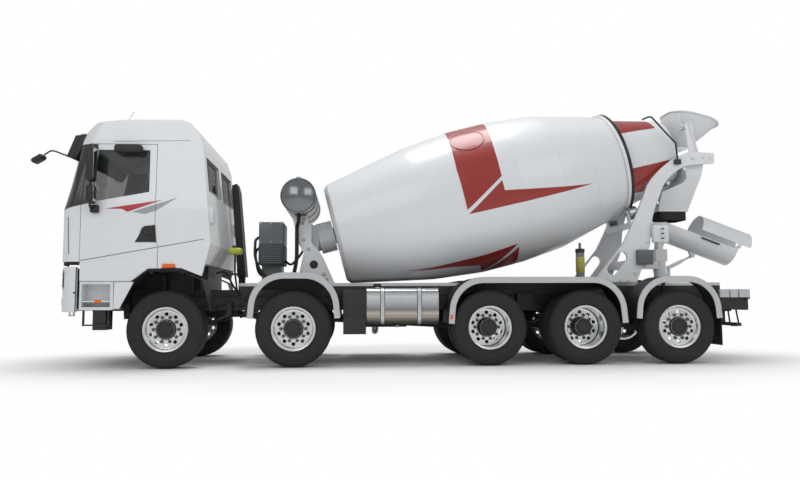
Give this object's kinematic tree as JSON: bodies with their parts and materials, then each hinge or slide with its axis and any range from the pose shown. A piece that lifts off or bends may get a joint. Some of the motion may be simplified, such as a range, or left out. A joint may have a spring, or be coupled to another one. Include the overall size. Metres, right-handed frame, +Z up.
{
  "type": "concrete mixer truck",
  "caption": "Multi-axle concrete mixer truck with a tilting cab, a turning inclined drum, a charge hopper, a discharge collector and a swivelling chute with a folded extension.",
  "frame": {"origin": "on the ground, midway between the front mirror's tip and the chute's tip, on the truck's centre plane", "axes": "+X forward, +Y to the driver's left, +Z up; the truck stands on Z = 0"},
  "size_m": [10.6924, 3, 3.8898],
  "materials": {
    "tyre_rubber": "matt",
    "cab_paint": "gloss",
    "window_glass": "clear",
    "black_plastic": "matt",
    "trim_fabric": "matt",
    "chassis_paint": "satin",
    "cast_iron": "rough",
    "drum_paint": "gloss",
    "grey_paint": "satin",
    "polished_metal": "polished",
    "bare_steel": "machined",
    "soft_rubber": "matt"
  },
  "bodies": {
    "chassis": {"air_intake": "black_plastic", "bumper": "cab_paint", "cab_steps": "cab_paint", "charge_hopper": "drum_paint", "chassis_frame": "chassis_paint", "discharge_collector": "drum_paint", "drive_axles": "chassis_paint", "drive_line": "chassis_paint", "drum_gearbox": "grey_paint", "engine": "cast_iron", "fuel_tank": "polished_metal", "hand_rails": "chassis_paint", "lubricator": "grey_paint", "mudguards": "black_plastic", "oil_cooler": "grey_paint", "rear_guard": "chassis_paint", "rubber_skirt": "soft_rubber", "side_boxes": "black_plastic", "steer_axles": "chassis_paint", "subframe": "drum_paint", "suspension": "chassis_paint", "water_tank": "grey_paint"},
    "wheel_1_left": {"wheel_1_left": "tyre_rubber"},
    "knuckle_1_left": {"knuckle_1_left": "chassis_paint"},
    "wheel_1_right": {"wheel_1_right": "tyre_rubber"},
    "knuckle_1_right": {"knuckle_1_right": "chassis_paint"},
    "wheel_2_left": {"wheel_2_left": "tyre_rubber"},
    "knuckle_2_left": {"knuckle_2_left": "chassis_paint"},
    "wheel_2_right": {"wheel_2_right": "tyre_rubber"},
    "knuckle_2_right": {"knuckle_2_right": "chassis_paint"},
    "wheel_3_left": {"wheel_3_left": "tyre_rubber"},
    "wheel_3_right": {"wheel_3_right": "tyre_rubber"},
    "wheel_4_left": {"wheel_4_left": "tyre_rubber"},
    "wheel_4_right": {"wheel_4_right": "tyre_rubber"},
    "wheel_5_left": {"wheel_5_left": "tyre_rubber"},
    "knuckle_5_left": {"knuckle_5_left": "chassis_paint"},
    "wheel_5_right": {"wheel_5_right": "tyre_rubber"},
    "knuckle_5_right": {"knuckle_5_right": "chassis_paint"},
    "cab": {"cab_shell": "cab_paint", "cab_glass": "window_glass", "cab_interior": "trim_fabric", "sun_visor": "black_plastic", "front_mirror": "black_plastic"},
    "door_left": {"door_left": "cab_paint", "door_glass_left": "window_glass", "mirrors_left": "black_plastic"},
    "drum_roller_left": {"drum_roller_left": "bare_steel"},
    "door_right": {"door_right": "cab_paint", "door_glass_right": "window_glass", "mirrors_right": "black_plastic"},
    "drum_roller_right": {"drum_roller_right": "bare_steel"},
    "drum": {"drum": "drum_paint"},
    "chute_turret": {"chute_turret": "drum_paint"},
    "chute": {"chute": "drum_paint"},
    "chute_extension": {"chute_extension": "drum_paint"},
    "strut_tube": {"strut_tube": "drum_paint"},
    "strut_rod": {"strut_rod": "bare_steel"}
  },
  "joints": [
    {"name": "steer_1_left", "type": "hinge", "parent": "chassis", "child": "knuckle_1_left", "pos_m": [3.486, 0.972, 0.52], "axis": [0, 0, 1], "range_deg": [-38, 38]},
    {"name": "steer_1_right", "type": "hinge", "parent": "chassis", "child": "knuckle_1_right", "pos_m": [3.486, -0.972, 0.52], "axis": [0, 0, 1], "range_deg": [-38, 38]},
    {"name": "steer_2_left", "type": "hinge", "parent": "chassis", "child": "knuckle_2_left", "pos_m": [1.786, 0.972, 0.52], "axis": [0, 0, 1], "range_deg": [-26.6, 26.6]},
    {"name": "steer_2_right", "type": "hinge", "parent": "chassis", "child": "knuckle_2_right", "pos_m": [1.786, -0.972, 0.52], "axis": [0, 0, 1], "range_deg": [-26.6, 26.6]},
    {"name": "steer_5_left", "type": "hinge", "parent": "chassis", "child": "knuckle_5_left", "pos_m": [-3.614, 0.972, 0.52], "axis": [0, 0, 1], "range_deg": [-17.1, 17.1]},
    {"name": "steer_5_right", "type": "hinge", "parent": "chassis", "child": "knuckle_5_right", "pos_m": [-3.614, -0.972, 0.52], "axis": [0, 0, 1], "range_deg": [-17.1, 17.1]},
    {"name": "spin_1_left", "type": "hinge", "parent": "knuckle_1_left", "child": "wheel_1_left", "pos_m": [3.486, 1.0575, 0.52], "axis": [0, 1, 0], "continuous": true},
    {"name": "spin_1_right", "type": "hinge", "parent": "knuckle_1_right", "child": "wheel_1_right", "pos_m": [3.486, -1.0575, 0.52], "axis": [0, 1, 0], "continuous": true},
    {"name": "spin_2_left", "type": "hinge", "parent": "knuckle_2_left", "child": "wheel_2_left", "pos_m": [1.786, 1.0575, 0.52], "axis": [0, 1, 0], "continuous": true},
    {"name": "spin_2_right", "type": "hinge", "parent": "knuckle_2_right", "child": "wheel_2_right", "pos_m": [1.786, -1.0575, 0.52], "axis": [0, 1, 0], "continuous": true},
    {"name": "spin_3_left", "type": "hinge", "parent": "chassis", "child": "wheel_3_left", "pos_m": [-0.914, 1.0575, 0.52], "axis": [0, 1, 0], "continuous": true},
    {"name": "spin_3_right", "type": "hinge", "parent": "chassis", "child": "wheel_3_right", "pos_m": [-0.914, -1.0575, 0.52], "axis": [0, 1, 0], "continuous": true},
    {"name": "spin_4_left", "type": "hinge", "parent": "chassis", "child": "wheel_4_left", "pos_m": [-2.264, 1.0575, 0.52], "axis": [0, 1, 0], "continuous": true},
    {"name": "spin_4_right", "type": "hinge", "parent": "chassis", "child": "wheel_4_right", "pos_m": [-2.264, -1.0575, 0.52], "axis": [0, 1, 0], "continuous": true},
    {"name": "spin_5_left", "type": "hinge", "parent": "knuckle_5_left", "child": "wheel_5_left", "pos_m": [-3.614, 1.0575, 0.52], "axis": [0, 1, 0], "continuous": true},
    {"name": "spin_5_right", "type": "hinge", "parent": "knuckle_5_right", "child": "wheel_5_right", "pos_m": [-3.614, -1.0575, 0.52], "axis": [0, 1, 0], "continuous": true},
    {"name": "cab_tilt", "type": "hinge", "parent": "chassis", "child": "cab", "pos_m": [4.92, 0, 1.24], "axis": [0, 1, 0], "range_deg": [0, 55]},
    {"name": "door_left_swing", "type": "hinge", "parent": "cab", "child": "door_left", "pos_m": [4.624, 1.24, 2.1], "axis": [0, 0, 1], "range_deg": [-72, 0]},
    {"name": "door_right_swing", "type": "hinge", "parent": "cab", "child": "door_right", "pos_m": [4.624, -1.24, 2.1], "axis": [0, 0, -1], "range_deg": [-72, 0]},
    {"name": "drum_spin", "type": "hinge", "parent": "chassis", "child": "drum", "pos_m": [1.248, 0, 1.905], "axis": [-0.9686, 0, 0.2487], "continuous": true},
    {"name": "roller_left_spin", "type": "hinge", "parent": "chassis", "child": "drum_roller_left", "pos_m": [-3.28672, 0.43863, 2.21762], "axis": [-0.9686, 0, 0.2487], "continuous": true},
    {"name": "roller_right_spin", "type": "hinge", "parent": "chassis", "child": "drum_roller_right", "pos_m": [-3.28672, -0.43863, 2.21762], "axis": [-0.9686, 0, 0.2487], "continuous": true},
    {"name": "chute_swivel", "type": "hinge", "parent": "chassis", "child": "chute_turret", "pos_m": [-3.885, 0, 1.4], "axis": [0, 0, 1], "range_deg": [-70, 70]},
    {"name": "chute_tilt", "type": "hinge", "parent": "chute_turret", "child": "chute", "pos_m": [-3.885, 0, 1.76], "axis": [0, 1, 0], "range_deg": [-10, 10]},
    {"name": "extension_fold", "type": "hinge", "parent": "chute", "child": "chute_extension", "pos_m": [-5.0716, 0, 1.71439], "axis": [0, -1, 0], "range_deg": [0, 180]},
    {"name": "strut_swing", "type": "hinge", "parent": "chute_turret", "child": "strut_tube", "pos_m": [-4.03, 0, 1.4], "axis": [0, 1, 0], "range_deg": [-12, 12]},
    {"name": "strut_slide", "type": "slide", "parent": "strut_tube", "child": "strut_rod", "axis": [-0.9033, 0, 0.4291], "range_m": [-0.08, 0.08]}
  ],
  "couplings": [
    {"joint": "steer_1_right", "follows": "steer_1_left", "ratio": 1},
    {"joint": "steer_2_left", "follows": "steer_1_left", "ratio": 0.7},
    {"joint": "steer_5_left", "follows": "steer_1_left", "ratio": -0.45},
    {"joint": "roller_left_spin", "follows": "drum_spin", "ratio": -8.34},
    {"joint": "steer_2_right", "follows": "steer_1_left", "ratio": 0.7},
    {"joint": "steer_5_right", "follows": "steer_1_left", "ratio": -0.45},
    {"joint": "roller_right_spin", "follows": "drum_spin", "ratio": -8.34},
    {"joint": "strut_swing", "follows": "chute_tilt", "ratio": 0.9578},
    {"joint": "strut_slide", "follows": "chute_tilt", "m_per_rad": 0.3857}
  ]
}
